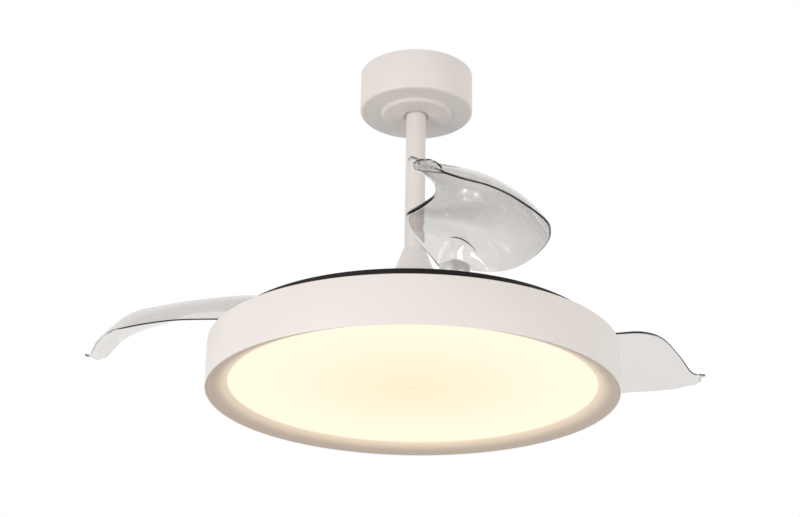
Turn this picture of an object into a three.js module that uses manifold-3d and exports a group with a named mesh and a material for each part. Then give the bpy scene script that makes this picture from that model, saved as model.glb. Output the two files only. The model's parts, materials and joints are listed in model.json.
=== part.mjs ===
// Retractable blade ceiling fan with a round light.
//
// Millimetres, +Z up. The origin is the centre of the ceiling bracket's top face, which lies on the ceiling.
// -Y is the side from which the fan is seen. The lamp hangs from a short rod, and an outer-rotor motor above it
// turns a carrier. Three clear blades swing on upright spindles in the carrier's rim: they stand out when the
// fan runs, and fold in over the lamp when it stops.

import * as THREE from 'three';
import { mergeVertices } from 'three/addons/utils/BufferGeometryUtils.js';
import Module from 'manifold-3d';

const wasm = await Module();
wasm.setup();

// ---------------------------------------------------------------- driving dimensions

const GAP = 0.3;                 // between pieces that touch
const RUN = 1.0;                 // between pieces that turn past each other
const SHEET = 1.5;               // pressed steel sheet
const DROP = 440;                // ceiling to the lamp's rim

const CANOPY_R = 72.5;
const CANOPY_H = 55;
const CANOPY_EDGE_R = 4;
const CANOPY_BOSS_R = 44;        // raised round plateau under the canopy
const CANOPY_BOSS_H = 4;
const CANOPY_HOLE_R = 16.5;

const BRACKET_T = 2.5;
const BRACKET_W = 44;
const SLOT_X = 50;               // ceiling screw slots, each side of the centre
const SLOT_R = 2.6;
const SLOT_TRAVEL = 5.5;         // from a slot's centre to the centre of each end
const BALL_R = 22;
const BALL_DEPTH = 27;           // ceiling to the ball's centre
const KEY_W = 5;                 // tab in the cup that keys the ball
const TERMINAL_H = 11;

const ROD_R = 12.7;
const ROD_WALL = 1.6;
const PIN_R = 3;                 // cross pin and cross bolt through the rod

const LAMP_R = 250;
const LAMP_H = 58.9;
const RING_W = 26.8;             // drum's outer face to the trim ring's inner edge
const RIM_RISE = 10.1;           // height that the trim ring climbs inward
const TRAY_INSET = 23.5;         // drum's outer face to the upper tray's
const TRAY_H = 15.3;
const DIFFUSER_T = 2;
const DIFFUSER_H = 16;
const LED_GAP = 22;              // diffuser face to LED board
const BOARD_T = 1.5;
const LED_RINGS = [[0.72, 10], [0.4, 6]];   // share of the lamp's radius, and number of chips
const DRIVER_L = 120;
const DRIVER_W = 44;
const CONTROL_L = 90;
const CONTROL_W = 50;
const BOX_EDGE_R = 5;
const BOX_OFFSET = 90;           // lamp's axis to the middle of each box
const BOX_AIR = 3;               // drum to the top of each box

const SHAFT_R = 8;
const SHAFT_BORE_R = 4;
const BEARING_R = 17;
const BEARING_H = 10;
const ROTOR_R = 66;
const ROTOR_H = 42;
const COUPLING_AIR = 13.7;       // rotor to the yoke at the foot of the rod
const SLOTS = 9;

const CARRIER_R = 180;
const CARRIER_T = 4;
const EAR_R = 22;
const PIVOT_R = 171.3;           // rotor axis to blade pivot
const PIVOT_AZIMUTH = -74.4;     // first blade's pivot, degrees
const POST_R = 15;
const POST_UP = 11;              // post above the carrier
const POST_DOWN = 14;            // post below the carrier
const SPINDLE_R = 6;
const FLANGE_R = 17.5;
const FLANGE_T = 3;
const BUSH_WALL = 2;

const BLADE_REACH = 281;         // blade's pivot to its tip
const BLADE_T = 2.2;
const BLADE_LAG = [15.6, 22, 0];    // how far each blade trails behind radial, degrees
const FOLD_LAG = 125;               // lag of a folded blade, degrees
const BOSS_R = 17.5;
const BOSS_TOP_R = 14;
const BOSS_H = 60;               // height at which the boss's taper reaches that radius

const WIRE_R = 0.9;              // return spring
const COILS = 3;                 // whole turns, before the part turn between its two hooks
const HOOK_R = 22;               // pivot to the pegs that the spring's ends bear on
const PEG_R = 1.5;
const LEVER_R = 28;              // pivot to bumper
const LEVER_T = 3;
const LEVER_W = 9;
const LEVER_AIR = 3.5;           // upper tray's floor to the heads of the spindle screws
const SCREW_HEAD_T = 2.2;
const BUMPER_R = 4;

const WIDE = 40;                 // sides of a turned piece as wide as the lamp
const MEDIUM = 24;               // and of one the size of the motor
const SMALL = 16;
const TINY = 8;

// ---------------------------------------------------------------- materials

const finish = (color, roughness, metalness = 0, extra = {}) =>
  new THREE.MeshStandardMaterial({ color, roughness, metalness, ...extra });

const whitePaint = finish(0xe9e3de, 0.45);
const darkTray = finish(0x1e1a18, 0.4);
const clearPlastic = finish(0xd8d5d3, 0.08, 0, { transparent: true, opacity: 0.35 });
const opal = finish(0xfff1cf, 0.5, 0, { emissive: 0xffe9bd });
const steel = finish(0xb4b4b2, 0.3, 1);
const castAlloy = finish(0x9b9c9e, 0.5, 1);
const blackSteel = finish(0x2c2c2e, 0.45, 1);
const copper = finish(0xb2683a, 0.35, 1);
const nylon = finish(0xe6e2d8, 0.5);
const rubber = finish(0x1b1b1b, 0.85);
const ledWhite = finish(0xf6f4ea, 0.4);
const controlBox = finish(0xd9d9d6, 0.5);

// ---------------------------------------------------------------- solids

const rad = THREE.MathUtils.degToRad;
const polar = (r, degrees, z = 0) => [r * Math.cos(rad(degrees)), r * Math.sin(rad(degrees)), z];

/** Merges shared corners, drops empty triangles and turns the faces outward. */
function weld(geometry) {
  const plain = geometry.clone();
  for (const name of Object.keys(plain.attributes)) if (name !== 'position') plain.deleteAttribute(name);
  const merged = mergeVertices(plain, 1e-4);
  const at = merged.attributes.position;
  const kept = [];
  const [a, b, c] = [new THREE.Vector3(), new THREE.Vector3(), new THREE.Vector3()];
  let volume = 0;
  for (let i = 0; i < merged.index.count; i += 3) {
    const corners = [0, 1, 2].map((k) => merged.index.getX(i + k));
    if (new Set(corners).size < 3) continue;
    kept.push(corners);
    [a, b, c].forEach((v, k) => v.fromBufferAttribute(at, corners[k]));
    volume += a.dot(b.cross(c));
  }
  if (volume < 0) kept.forEach((corners) => corners.reverse());
  merged.setIndex(kept.flat());
  return merged;
}

function toManifold(geometry) {
  const { attributes, index } = weld(geometry);
  const vertProperties = new Float32Array(attributes.position.array);
  return new wasm.Manifold(new wasm.Mesh({ numProp: 3, vertProperties, triVerts: new Uint32Array(index.array) }));
}

function fromManifold(manifold) {
  const { vertProperties, triVerts } = manifold.getMesh();
  const geometry = new THREE.BufferGeometry();
  geometry.setAttribute('position', new THREE.BufferAttribute(new Float32Array(vertProperties), 3));
  geometry.setIndex([...triVerts]);
  return geometry;
}

/** The base geometry with every geometry in adds joined to it and every one in cuts taken out of it. */
function carve(base, cuts = [], adds = []) {
  let body = toManifold(base);
  for (const piece of adds) body = body.add(toManifold(piece));
  for (const piece of cuts) body = body.subtract(toManifold(piece));
  return fromManifold(body);
}

const common = (one, other) => fromManifold(toManifold(one).intersect(toManifold(other)));

/** Turns a closed profile of [radius, height] points about Z. */
function revolve(profile, segments = SMALL) {
  const closed = [...profile, profile[0]].map(([r, z]) => new THREE.Vector2(r, z));
  return weld(new THREE.LatheGeometry(closed, segments).rotateX(Math.PI / 2));
}

/** A round bar, or a tube where inner is given, from height z0 to z1. */
function bar(r, z0, z1, inner = 0, segments = SMALL) {
  return revolve([[inner, z0], [r, z0], [r, z1], [inner, z1]], segments);
}

const place = (geometry, x, y, z = 0) => geometry.translate(x, y, z);
const block = (w, d, h, x = 0, y = 0, z = 0) => weld(new THREE.BoxGeometry(w, d, h).translate(x, y, z));
const alongX = (geometry) => geometry.rotateY(Math.PI / 2);
const alongY = (geometry) => geometry.rotateX(Math.PI / 2);

/** Extrudes a flat shape from height z0 to z1. */
function plate(shape, z0, z1, curveSegments = 12) {
  const geometry = new THREE.ExtrudeGeometry(shape, { depth: z1 - z0, bevelEnabled: false, curveSegments });
  return weld(geometry.translate(0, 0, z0));
}

function circlePath(x, y, r) {
  return new THREE.Path().absarc(x, y, r, 0, 2 * Math.PI, true);
}

/** Copies of a geometry turned about Z by each of the angles, as one geometry of separate solids. */
function around(geometry, angles) {
  const positions = [];
  const index = [];
  const one = weld(geometry);
  for (const angle of angles) {
    const copy = one.clone().rotateZ(rad(angle));
    const first = positions.length / 3;
    positions.push(...copy.attributes.position.array);
    index.push(...[...copy.index.array].map((i) => i + first));
  }
  const all = new THREE.BufferGeometry();
  all.setAttribute('position', new THREE.Float32BufferAttribute(positions, 3));
  all.setIndex(index);
  return all;
}

const evenly = (count, first = 0) => Array.from({ length: count }, (_, i) => first + (360 * i) / count);

/** Joins two matching grids of points into a closed solid with one skin on each. */
function skinned(upper, lower) {
  const rows = upper.length;
  const cols = upper[0].length;
  const positions = [...upper.flat(), ...lower.flat()].flatMap((p) => [p.x, p.y, p.z]);
  const id = (side, i, j) => side * rows * cols + i * cols + j;
  const index = [];
  const quad = (a, b, c, d) => index.push(a, b, c, a, c, d);
  for (let i = 0; i + 1 < rows; i++) {
    for (let j = 0; j + 1 < cols; j++) {
      quad(id(0, i, j), id(0, i + 1, j), id(0, i + 1, j + 1), id(0, i, j + 1));
      quad(id(1, i, j), id(1, i, j + 1), id(1, i + 1, j + 1), id(1, i + 1, j));
    }
    quad(id(0, i, 0), id(1, i, 0), id(1, i + 1, 0), id(0, i + 1, 0));
    quad(id(0, i, cols - 1), id(0, i + 1, cols - 1), id(1, i + 1, cols - 1), id(1, i, cols - 1));
  }
  for (let j = 0; j + 1 < cols; j++) {
    quad(id(0, 0, j), id(0, 0, j + 1), id(1, 0, j + 1), id(1, 0, j));
    quad(id(0, rows - 1, j), id(1, rows - 1, j), id(1, rows - 1, j + 1), id(0, rows - 1, j + 1));
  }
  const geometry = new THREE.BufferGeometry();
  geometry.setAttribute('position', new THREE.Float32BufferAttribute(positions, 3));
  geometry.setIndex(index);
  return weld(geometry);
}

/** A round wire along a run of points that never stands upright. */
function wire(points, r, sides) {
  const last = points.length - 1;
  const rings = points.map((p, i) => {
    const along = points[Math.min(i + 1, last)].clone().sub(points[Math.max(i - 1, 0)]).normalize();
    const side = new THREE.Vector3(along.y, -along.x, 0).normalize();
    const up = side.clone().cross(along);
    return Array.from({ length: sides }, (_, k) => {
      const a = (2 * Math.PI * k) / sides;
      return p.clone().addScaledVector(side, r * Math.cos(a)).addScaledVector(up, r * Math.sin(a));
    });
  });
  const id = (i, k) => i * sides + (k % sides);
  const index = [];
  for (let k = 0; k < sides; k++) {
    for (let i = 0; i < last; i++) {
      index.push(id(i, k), id(i, k + 1), id(i + 1, k + 1), id(i, k), id(i + 1, k + 1), id(i + 1, k));
    }
  }
  for (let k = 1; k + 1 < sides; k++) {
    index.push(id(0, 0), id(0, k + 1), id(0, k), id(last, 0), id(last, k), id(last, k + 1));
  }
  const geometry = new THREE.BufferGeometry();
  geometry.setAttribute('position', new THREE.Float32BufferAttribute(rings.flat().flatMap((p) => [...p]), 3));
  geometry.setIndex(index);
  return weld(geometry);
}

function piece(parent, name, geometry, material) {
  const mesh = new THREE.Mesh(geometry, material);
  mesh.name = name;
  parent.add(mesh);
  return mesh;
}

// ---------------------------------------------------------------- heights above the lamp's rim

const trayFloor = LAMP_H + GAP;
const leverLow = trayFloor + SHEET + LEVER_AIR + SCREW_HEAD_T + GAP;
const leverTop = leverLow + LEVER_T;
const postLow = leverTop + GAP;
const carrierLow = postLow + POST_DOWN;
const carrierTop = carrierLow + CARRIER_T;
const postTop = carrierTop + POST_UP;
const flangeLow = postTop + RUN;
const bossLow = flangeLow + FLANGE_T + GAP;
const rotorLow = carrierTop + GAP;
const rotorTop = rotorLow + ROTOR_H;
const yokeLow = rotorTop + COUPLING_AIR;
const setScrewHeight = yokeLow + 4;
const yokeRodSeat = yokeLow + 8;
const boltHeight = yokeLow + 18;
const yokeTop = yokeLow + 28;
const coverLow = rotorTop + 7.7;
const coverNeck = coverLow + 31;             // where the cone narrows to a collar round the rod
const coverTop = coverLow + 56;

// ---------------------------------------------------------------- ceiling bracket and canopy

const canopyInnerR = CANOPY_R - SHEET;
const tabT = 2.5;
const canopySides = 32;
const tabHalf = 8;
const canopyClearR = canopyInnerR * Math.cos(Math.PI / canopySides) - GAP;
const tabR = Math.sqrt(canopyClearR ** 2 - tabHalf ** 2);   // outer face of the bracket's side tabs
const tabH = 20;
const screwDepth = 12;                       // canopy screws below the ceiling
const screwR = 1.75;
const screwHeadR = 3.4;
const cupWall = 3;
const cupInnerR = BALL_R + 0.9;              // keeps the flats of the cup clear of the ball
const cupOuterR = cupInnerR + cupWall;
const cupFloor = 15;                         // ball's centre to the cup's lower edge
const armX = cupOuterR - 0.5 + BRACKET_T / 2;

function canopyShell() {
  const step = CANOPY_BOSS_H / 2;
  const outer = [
    [CANOPY_R, 0],
    [CANOPY_R, -CANOPY_H + CANOPY_EDGE_R],
    [CANOPY_R - CANOPY_EDGE_R * 0.29, -CANOPY_H + CANOPY_EDGE_R * 0.29],
    [CANOPY_R - CANOPY_EDGE_R, -CANOPY_H],
    [CANOPY_BOSS_R + step, -CANOPY_H],
    [CANOPY_BOSS_R - step, -CANOPY_H - CANOPY_BOSS_H],
    [CANOPY_HOLE_R, -CANOPY_H - CANOPY_BOSS_H],
  ];
  const inner = [
    [CANOPY_HOLE_R, -CANOPY_H - CANOPY_BOSS_H + SHEET],
    [CANOPY_BOSS_R - step - SHEET / 2, -CANOPY_H - CANOPY_BOSS_H + SHEET],
    [CANOPY_BOSS_R + step - SHEET / 2, -CANOPY_H + SHEET],
    [canopyInnerR - CANOPY_EDGE_R / 2, -CANOPY_H + SHEET],
    [canopyInnerR, -CANOPY_H + SHEET + CANOPY_EDGE_R / 2],
    [canopyInnerR, 0],
  ];
  const shell = revolve([...outer, ...inner], canopySides);
  const sinks = around(alongX(bar(screwHeadR + GAP, canopyInnerR - 1, CANOPY_R + 1, 0, TINY)), [0, 180]);
  return carve(shell, [place(sinks, 0, 0, -screwDepth)]);
}

function bracket() {
  const half = BRACKET_W / 2;
  const reach = tabR - tabT / 2;
  const outline = new THREE.Shape();
  outline.moveTo(-reach, -tabHalf).lineTo(-armX, -half).lineTo(armX, -half).lineTo(reach, -tabHalf);
  outline.lineTo(reach, tabHalf).lineTo(armX, half).lineTo(-armX, half).lineTo(-reach, tabHalf);
  for (const side of [-1, 1]) {
    const slot = new THREE.Path();
    slot.absarc(side * SLOT_X + SLOT_TRAVEL, 0, SLOT_R, -Math.PI / 2, Math.PI / 2, false);
    slot.absarc(side * SLOT_X - SLOT_TRAVEL, 0, SLOT_R, Math.PI / 2, 1.5 * Math.PI, false);
    outline.holes.push(slot);
  }
  const ceilingPlate = plate(outline, -BRACKET_T, 0, 10);
  const tabs = [-1, 1].map((side) => block(tabT, 2 * tabHalf, tabH, side * (tabR - tabT / 2), 0, -tabH / 2));
  const armLow = BALL_DEPTH + 6;
  const arms = [-1, 1].map((side) => block(BRACKET_T, BRACKET_W * 0.6, armLow, side * armX, 0, -armLow / 2));
  const angle = (z) => Math.acos(z / cupInnerR);
  const wall = [];
  const steps = 4;
  const [a0, a1] = [angle(4), Math.PI - angle(cupFloor)];
  for (let i = 0; i <= steps; i++) {
    const a = a0 + ((a1 - a0) * i) / steps;
    wall.push([cupInnerR * Math.sin(a), -BALL_DEPTH + cupInnerR * Math.cos(a)]);
  }
  const low = wall[wall.length - 1];
  const cup = revolve([
    ...wall,
    [low[0], low[1] - 1],
    [low[0] + cupWall * 2, low[1] - 1],
    [cupOuterR, -BALL_DEPTH - 4],
    [cupOuterR, wall[0][1]],
  ]);
  const key = block(KEY_W - 2 * GAP, 5, 10, 0, -cupInnerR + 0.5, -BALL_DEPTH - 4);
  const tapped = around(alongX(bar(screwR + GAP, tabR - tabT - 1, tabR + 1, 0, TINY)), [0, 180]);
  return carve(ceilingPlate, [place(tapped, 0, 0, -screwDepth)], [...tabs, ...arms, cup, key]);
}

function canopyScrew() {
  const seat = canopyInnerR + GAP;
  const screw = revolve([
    [0, tabR - tabT - 3],
    [screwR, tabR - tabT - 3],
    [screwR, seat],
    [screwHeadR, CANOPY_R - GAP],
    [0, CANOPY_R - GAP],
  ], TINY);
  return place(alongX(screw), 0, 0, -screwDepth);
}

function terminalBlock() {
  const y = -BRACKET_W / 2 - 4.5;
  const housing = block(34, 13, TERMINAL_H);
  const wells = [-1, 0, 1].map((k) => bar(3, -TERMINAL_H / 2 - 1, 1, 0, TINY).translate(k * 10.5, 0, 0));
  const body = carve(housing, wells);
  return body.translate(0, y, -BRACKET_T - GAP - TERMINAL_H / 2);
}

// ---------------------------------------------------------------- hanging ball, rod, coupling

const rodTop = -BALL_DEPTH + BALL_R - 1;
const yokeR = ROD_R + 3.6;
const rodFoot = yokeRodSeat - DROP + GAP;
const coverR = 40;
const coverNeckR = 23;
const coverWall = 2.2;

function hangingBall() {
  const profile = [];
  const steps = 6;
  const start = Math.asin((ROD_R + GAP) / BALL_R);
  for (let i = 0; i <= steps; i++) {
    const a = start + ((Math.PI - 2 * start) * i) / steps;
    profile.push([BALL_R * Math.sin(a), BALL_R * Math.cos(a)]);
  }
  const ball = revolve(profile);
  const pinHole = alongX(bar(PIN_R + GAP, -BALL_R, BALL_R, 0, TINY));
  const groove = block(KEY_W, 8, 2 * BALL_R, 0, -BALL_R + 0.6, 0);
  return carve(ball, [pinHole, groove]).translate(0, 0, -BALL_DEPTH);
}

function hangerPin() {
  return alongX(bar(PIN_R, -BALL_R + 2, BALL_R - 2, 0, TINY)).translate(0, 0, -BALL_DEPTH);
}

function downrod() {
  const tube = bar(ROD_R, rodFoot, rodTop, ROD_R - ROD_WALL);
  const pinHole = alongX(bar(PIN_R + GAP, -BALL_R, BALL_R, 0, TINY)).translate(0, 0, -BALL_DEPTH);
  const boltHole = alongX(bar(PIN_R + GAP, -BALL_R, BALL_R, 0, TINY)).translate(0, 0, boltHeight - DROP);
  return carve(tube, [pinHole, boltHole]);
}

function couplingYoke() {
  const rodSocket = ROD_R + GAP;
  const shaftSocket = SHAFT_R + GAP;
  const body = revolve([
    [shaftSocket, yokeLow],
    [yokeR - 2, yokeLow],
    [yokeR, yokeLow + 2],
    [yokeR, yokeTop],
    [rodSocket, yokeTop],
    [rodSocket, yokeRodSeat],
    [shaftSocket, yokeRodSeat],
  ]);
  const boltHole = alongX(bar(PIN_R + GAP, -yokeR - 1, yokeR + 1, 0, TINY)).translate(0, 0, boltHeight);
  const screwHole = alongY(bar(2.3, 0, yokeR + 1, 0, TINY)).translate(0, 0, setScrewHeight);
  return carve(body, [boltHole, screwHole]);
}

function couplingBolt() {
  const reach = yokeR + GAP;
  const bolt = bar(PIN_R, -reach - 3, reach, 0, TINY);
  const head = bar(6, reach, reach + 2.6, 0, 6);
  return alongX(carve(bolt, [], [head])).translate(0, 0, boltHeight);
}

function couplingNut() {
  const reach = yokeR + GAP;
  const nut = carve(bar(6, -reach - 2.8, -reach, 0, 6), [bar(PIN_R + GAP, -reach - 4, 1, 0, TINY)]);
  return alongX(nut).translate(0, 0, boltHeight);
}

function setScrew() {
  return alongY(bar(2, SHAFT_R + GAP, yokeR - 0.5, 0, TINY)).translate(0, 0, setScrewHeight);
}

function couplingCover() {
  const neck = ROD_R + GAP;
  const outer = [
    [coverR, coverLow],
    [coverR - 10, coverLow + 20],
    [coverNeckR, coverNeck],
    [neck + 1.2, coverTop],
  ];
  const lip = [[neck, coverTop], [neck, coverTop - 3]];
  const inner = outer.slice(1, -1).map(([r, z]) => [r - coverWall, z - coverWall]).reverse();
  return revolve([...outer, ...lip, ...inner, [coverR - coverWall, coverLow]], MEDIUM);
}

// ---------------------------------------------------------------- motor

const rotorWall = 3;
const baseT = 4;
const bearingSeatR = BEARING_R + GAP;
const hubR = BEARING_R + 5;
const lowBearing = carrierLow;
const topBearing = rotorTop - BEARING_H - 1;
const shaftTop = yokeRodSeat - 1;
const collarLow = trayFloor + SHEET + GAP;
const statorLow = rotorLow + baseT + 8;
const statorH = 14;
const magnetR = ROTOR_R - rotorWall - GAP;
const magnetT = 4;
const statorR = magnetR - magnetT - RUN;
const carrierScrewR = 45;
const screwAngles = evenly(3, 30);
const toothR = 20;                           // root of the stator's teeth

function motorShaft() {
  const collarR = SHAFT_R + 5;
  return revolve([
    [SHAFT_BORE_R, LAMP_H - 16],
    [SHAFT_R, LAMP_H - 16],
    [SHAFT_R, collarLow],
    [collarR, collarLow],
    [collarR, lowBearing - GAP],
    [SHAFT_R, lowBearing - GAP],
    [SHAFT_R, shaftTop],
    [SHAFT_BORE_R, shaftTop],
  ]);
}

const bearing = (z) => revolve([
  [SHAFT_R + GAP / 2, z],
  [SHAFT_R + 3, z],
  [(SHAFT_R + BEARING_R) / 2, z + 0.8],
  [BEARING_R - 3, z],
  [BEARING_R, z],
  [BEARING_R, z + BEARING_H],
  [SHAFT_R + GAP / 2, z + BEARING_H],
], MEDIUM);

function rotorBase() {
  const disc = revolve([
    [bearingSeatR, rotorLow - CARRIER_T],
    [hubR, rotorLow - CARRIER_T],
    [hubR, rotorLow],
    [ROTOR_R, rotorLow],
    [ROTOR_R, rotorLow + baseT],
    [hubR, rotorLow + baseT],
    [hubR, rotorLow + baseT + 4],
    [SHAFT_R + 4, rotorLow + baseT + 4],
    [SHAFT_R + 4, lowBearing + BEARING_H + GAP],
    [bearingSeatR, lowBearing + BEARING_H + GAP],
  ], MEDIUM);
  const holes = around(place(bar(2 + GAP, rotorLow - 1, rotorLow + baseT + 1, 0, TINY), carrierScrewR, 0), screwAngles);
  return carve(disc, [holes]);
}

function rotorCover() {
  const lowEdge = rotorLow + baseT + GAP;
  const crown = 4;
  const shell = revolve([
    [ROTOR_R - rotorWall, lowEdge],
    [ROTOR_R, lowEdge],
    [ROTOR_R, rotorTop - crown - 4],
    [ROTOR_R - 4, rotorTop - crown],
    [hubR, rotorTop],
    [SHAFT_R + 4, rotorTop],
    [SHAFT_R + 4, topBearing + BEARING_H + GAP],
    [bearingSeatR, topBearing + BEARING_H + GAP],
    [bearingSeatR, topBearing],
    [hubR, topBearing],
    [hubR, rotorTop - rotorWall],
    [ROTOR_R - rotorWall, rotorTop - crown - rotorWall],
  ], MEDIUM);
  const vent = new THREE.Shape();
  const [v0, v1] = [32, 48];
  vent.absarc(0, 0, v1, rad(-9), rad(9), false).absarc(0, 0, v0, rad(9), rad(-9), true);
  const vents = around(plate(vent, rotorTop - 14, rotorTop + 1, 2), evenly(6));
  return carve(shell, [vents]);
}

/** A ring magnet, grooved between its poles. */
function magnetRing() {
  const [low, high] = [statorLow - 2, statorLow + statorH + 2];
  const ring = bar(magnetR, low, high, magnetR - magnetT, MEDIUM);
  const groove = block(1.6, 1.6, high - low + 2, magnetR - magnetT, 0, (low + high) / 2);
  return carve(ring, [around(groove, evenly(MEDIUM / 2, 180 / MEDIUM))]);
}

function statorCore() {
  const pitch = 360 / SLOTS;
  const toothHalf = 2.8;
  const shoeHalf = pitch / 2 - 2.5;
  const shape = new THREE.Shape();
  const corner = (r, degrees) => new THREE.Vector2(r * Math.cos(rad(degrees)), r * Math.sin(rad(degrees)));
  const points = [];
  for (let i = 0; i < SLOTS; i++) {
    const middle = i * pitch;
    const side = (r) => (Math.asin(toothHalf / r) * 180) / Math.PI;
    points.push(corner(toothR, middle - side(toothR)), corner(statorR - 4, middle - side(statorR - 4)));
    points.push(corner(statorR - 3, middle - shoeHalf), corner(statorR, middle - shoeHalf));
    points.push(corner(statorR, middle), corner(statorR, middle + shoeHalf));
    points.push(corner(statorR - 3, middle + shoeHalf), corner(statorR - 4, middle + side(statorR - 4)));
    points.push(corner(toothR, middle + side(toothR)));
  }
  shape.setFromPoints(points);
  shape.holes.push(circlePath(0, 0, SHAFT_R + GAP));
  return plate(shape, statorLow, statorLow + statorH, 24);
}

function statorWindings() {
  const turn = 2.6;                            // thickness of a coil round its tooth
  const inner = 2.8 + GAP;
  const length = statorR - toothR - 8;
  const outline = new THREE.Shape();
  const [w, h] = [inner + turn, statorH / 2 + GAP + turn];
  outline.moveTo(-w, 0).lineTo(-w + 1.5, -h).lineTo(w - 1.5, -h).lineTo(w, 0);
  outline.lineTo(w - 1.5, h).lineTo(-w + 1.5, h);
  const [iw, ih] = [inner, statorH / 2 + GAP];
  const bore = new THREE.Path().moveTo(-iw, -ih).lineTo(-iw, ih).lineTo(iw, ih).lineTo(iw, -ih);
  outline.holes.push(bore);
  const coil = plate(outline, 0, length).rotateX(Math.PI / 2).rotateZ(Math.PI / 2);
  const coils = around(coil.translate(toothR + 3, 0, statorLow + statorH / 2), evenly(SLOTS));
  const top = statorLow + statorH + GAP;
  const leads = bar(toothR + 7, top, top + turn, toothR + 3, 2 * SLOTS);
  return carve(leads, [], [coils]);
}

// ---------------------------------------------------------------- blade carrier

const pivotAngles = [0, 1, 2].map((k) => PIVOT_AZIMUTH + 120 * k);
const bushR = (SPINDLE_R + 0.1) / Math.cos(Math.PI / SMALL);
const bushOuterR = bushR + BUSH_WALL;
const bushFlange = RUN - GAP * 2;
const springStep = 45;                        // degrees of each straight run of the modelled coil
const springR = (POST_R + GAP + WIRE_R) / Math.cos(rad(springStep / 2));
const springPitch = 2 * WIRE_R + 0.7;
const springTop = carrierLow - 1.5;
const springLeg = 8;                         // straight end that runs out to a peg
const legTurn = (Math.acos((springR + WIRE_R + GAP + PEG_R) / HOOK_R) * 180) / Math.PI;
const stopHalf = (Math.asin((LEVER_W / 2 + BUMPER_R + GAP) / LEVER_R) * 180) / Math.PI;
const leverHeading = 180 + FOLD_LAG / 2;     // from outward, with the blade radial: the sweep lies over the disc
const openBumper = leverHeading + stopHalf;
const foldBumper = leverHeading - FOLD_LAG - stopHalf;
const pegAngle = 180 + 35;
const ribFrom = LEVER_R + LEVER_W / 2 + 4;   // pivot to the near end of the carrier's rib
const ribLength = PIVOT_R - ribFrom - ROTOR_R - 6;
const pegH = 7;

function bladeCarrier() {
  const outline = new THREE.Shape();
  const earHalf = (Math.asin(EAR_R / PIVOT_R) * 180) / Math.PI + 2;
  pivotAngles.forEach((angle) => {
    const [x, y] = polar(PIVOT_R, angle);
    outline.absarc(x, y, EAR_R, rad(angle - 62), rad(angle + 62), false);
    outline.absarc(0, 0, CARRIER_R, rad(angle + earHalf), rad(angle + 120 - earHalf), false);
  });
  for (const angle of pivotAngles) {
    const opening = new THREE.Path();
    const [from, to] = [angle + 35, angle + 85];
    opening.absarc(0, 0, CARRIER_R - 22, rad(to), rad(from), true);
    opening.absarc(0, 0, ROTOR_R + 16, rad(from + 5), rad(to - 5), false);
    outline.holes.push(opening);
  }
  const disc = plate(outline, carrierLow, carrierTop, 6);
  const extras = [];
  const bores = [bar(hubR + GAP, carrierLow - 1, carrierTop + 1, 0, MEDIUM)];
  for (const angle of pivotAngles) {
    const post = bar(POST_R, postLow, postTop);
    const peg = place(bar(PEG_R, carrierLow + 0.5 - pegH, carrierLow + 0.5, 0, TINY), HOOK_R, 0).rotateZ(rad(pegAngle));
    const rib = block(ribLength, 3, 7, -ribFrom - ribLength / 2, 0, carrierLow - 3);
    extras.push(...[post, peg, rib].map((g) => g.rotateZ(rad(angle)).translate(...polar(PIVOT_R, angle))));
    bores.push(bar(bushOuterR + GAP / 2, postLow - 1, postTop + 1).translate(...polar(PIVOT_R, angle)));
  }
  bores.push(around(place(bar(2 + GAP, carrierLow - 1, carrierTop + 1, 0, TINY), carrierScrewR, 0), screwAngles));
  return carve(disc, bores, extras);
}

function carrierScrew() {
  return place(revolve([
    [0, carrierLow - 2.4],
    [3.6, carrierLow - 2.4],
    [3.6, carrierLow - GAP],
    [2, carrierLow - GAP],
    [2, rotorLow + baseT - 0.5],
    [0, rotorLow + baseT - 0.5],
  ], TINY), carrierScrewR, 0);
}

function pivotBush() {
  return revolve([
    [bushR, postLow],
    [bushOuterR, postLow],
    [bushOuterR, postTop + GAP],
    [POST_R - 2, postTop + GAP],
    [POST_R - 2, postTop + GAP + bushFlange],
    [bushR, postTop + GAP + bushFlange],
  ]);
}

/** Where the coil of a blade's return spring begins and ends, in degrees from outward. */
function springTurn(lag) {
  const from = leverHeading - lag + legTurn;
  return [from, pegAngle - legTurn + 360 * COILS];
}

const springLow = (lag) => {
  const [from, to] = springTurn(lag);
  return springTop - (springPitch * (to - from)) / 360;
};

/** A return spring round the post: its low end bears on the lever's peg and its high end on the carrier's. */
function returnSpring(lag) {
  const [from, to] = springTurn(lag);
  const steps = Math.ceil((to - from) / springStep);
  const coil = Array.from({ length: steps + 1 }, (_, i) => {
    const share = i / steps;
    const z = springLow(lag) + (springTop - springLow(lag)) * share;
    return new THREE.Vector3(...polar(springR, from + (to - from) * share, z));
  });
  const leg = (end, heading) => end.clone().add(new THREE.Vector3(...polar(springLeg, heading)));
  return wire([leg(coil[0], from - 90), ...coil, leg(coil[steps], to + 90)], WIRE_R, 4);
}

function bumper(angle) {
  const low = leverLow - 0.5;
  return revolve([
    [0, low],
    [BUMPER_R - 1, low],
    [BUMPER_R, low + 1],
    [BUMPER_R, carrierLow - GAP],
    [0, carrierLow - GAP],
  ], TINY).translate(...polar(LEVER_R, angle));
}

// ---------------------------------------------------------------- blades

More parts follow.
